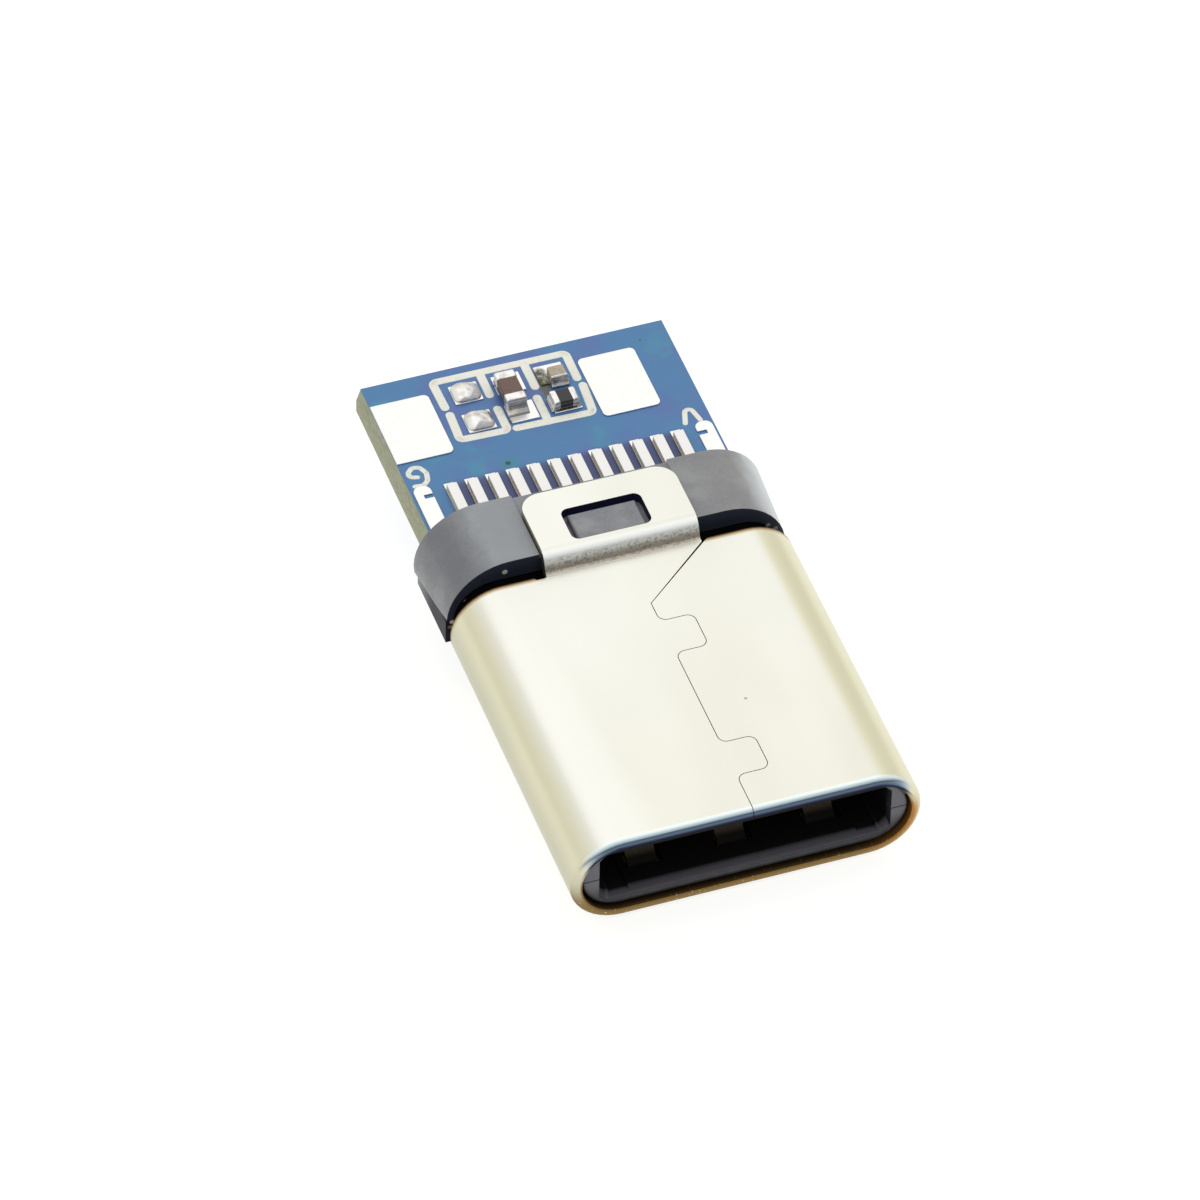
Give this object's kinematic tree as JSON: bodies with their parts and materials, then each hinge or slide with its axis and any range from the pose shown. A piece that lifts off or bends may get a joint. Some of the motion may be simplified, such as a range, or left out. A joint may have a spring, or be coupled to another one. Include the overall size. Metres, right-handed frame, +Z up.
{
  "type": "usb-c plug",
  "caption": "Flat stadium-shaped cable plug: seamed metal shell with windowed rear tabs, moulded collar and a bare solder board for the wires.",
  "frame": {"origin": "centre of the mouth, in the plane of the shell's front rim", "axes": "+X across the plug to the right seen from behind the mouth, +Y rearward from the mouth to the board, +Z up out of the face with the seam and the wire pads"},
  "size_m": [0.0084, 0.0161, 0.0034],
  "materials": {
    "plated_shell": "bright nickel plate, almost smooth",
    "black_moulding": "matt black moulding",
    "grey_collar": "matt dark grey moulding",
    "contact_metal": "copper alloy, gold flash in the mouth and tinned tails",
    "spring_steel": "rolled stainless strip",
    "blue_board": "blue solder mask on glass laminate with raw sides",
    "tinned_pad": "tinned copper, satin",
    "solder": "bright solder",
    "capacitor_ceramic": "brown ceramic with tinned ends",
    "diode_body": "moulded body, beige top",
    "resistor_body": "black glaze with tinned ends"
  },
  "bodies": {
    "root": {"shell": "plated_shell", "nose_upper": "black_moulding", "nose_lower": "black_moulding", "carrier_upper": "black_moulding", "carrier_lower": "black_moulding", "collar": "grey_collar", "contact_a1": "contact_metal", "contact_a2": "contact_metal", "contact_a3": "contact_metal", "contact_a4": "contact_metal", "contact_a5": "contact_metal", "contact_a6": "contact_metal", "contact_a7": "contact_metal", "contact_a8": "contact_metal", "contact_a9": "contact_metal", "contact_a10": "contact_metal", "contact_a11": "contact_metal", "contact_a12": "contact_metal", "contact_b1": "contact_metal", "contact_b2": "contact_metal", "contact_b3": "contact_metal", "contact_b4": "contact_metal", "contact_b5": "contact_metal", "contact_b6": "contact_metal", "contact_b7": "contact_metal", "contact_b8": "contact_metal", "contact_b9": "contact_metal", "contact_b10": "contact_metal", "contact_b11": "contact_metal", "contact_b12": "contact_metal", "spring_upper": "spring_steel", "spring_lower": "spring_steel", "latch_plate": "spring_steel", "board": "blue_board", "wire_pad_left": "tinned_pad", "wire_pad_right": "tinned_pad", "contact_pads_upper": "tinned_pad", "contact_pads_lower": "tinned_pad", "site_pads": "tinned_pad", "solder_rear_left": "solder", "solder_front_left": "solder", "capacitor": "capacitor_ceramic", "diode": "diode_body", "resistor": "resistor_body"}
  },
  "joints": []
}
